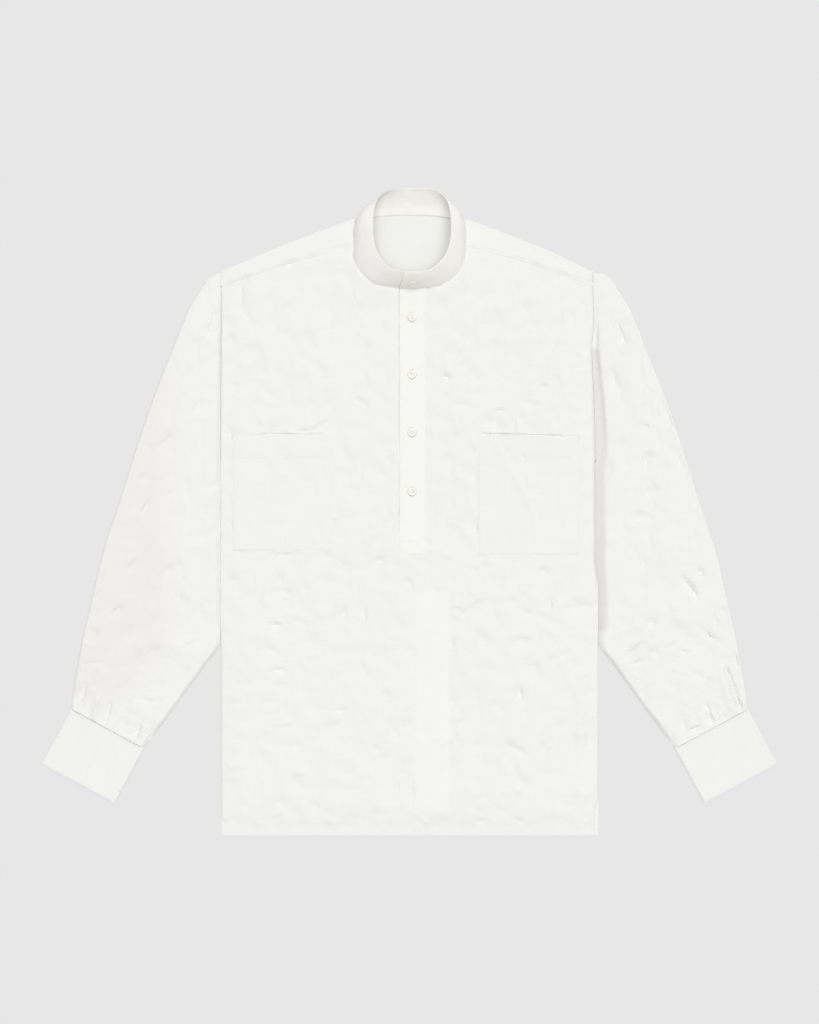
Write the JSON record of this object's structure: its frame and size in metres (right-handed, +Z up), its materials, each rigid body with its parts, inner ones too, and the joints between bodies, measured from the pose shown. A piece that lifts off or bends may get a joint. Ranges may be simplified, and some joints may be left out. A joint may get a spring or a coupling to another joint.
{
  "type": "mandarin collar shirt",
  "caption": "Long-sleeved linen popover shirt with a standing mandarin collar, buttoned half placket and patch chest pockets, laid flat on its back",
  "frame": {"origin": "on the surface that the shirt lies on, under the middle of its bounding box", "axes": "+X across the shirt from cuff to cuff (towards the wearer's left), +Y from the hem to the collar, +Z up from the surface through the shirt's front"},
  "size_m": [0.9808, 0.8622, 0.0369],
  "materials": {
    "linen": "white garment-washed linen, plain weave, matt, softly crumpled",
    "linen_band": "white linen, doubled and interfaced, matt",
    "linen_trim": "white linen, doubled and topstitched, pressed flatter than the body",
    "button": "pale ivory shell-like resin, softly glossy, four holes"
  },
  "bodies": {
    "root": {"front": "linen", "back": "linen", "yoke": "linen", "collar_band": "linen_band", "placket": "linen_trim", "placket_under": "linen_trim", "pocket_left": "linen_trim", "pocket_right": "linen_trim", "sleeve_left": "linen", "sleeve_right": "linen", "cuff_left": "linen_trim", "cuff_right": "linen_trim", "button_1": "button", "button_2": "button", "button_3": "button", "button_4": "button", "button_collar": "button"}
  },
  "joints": []
}
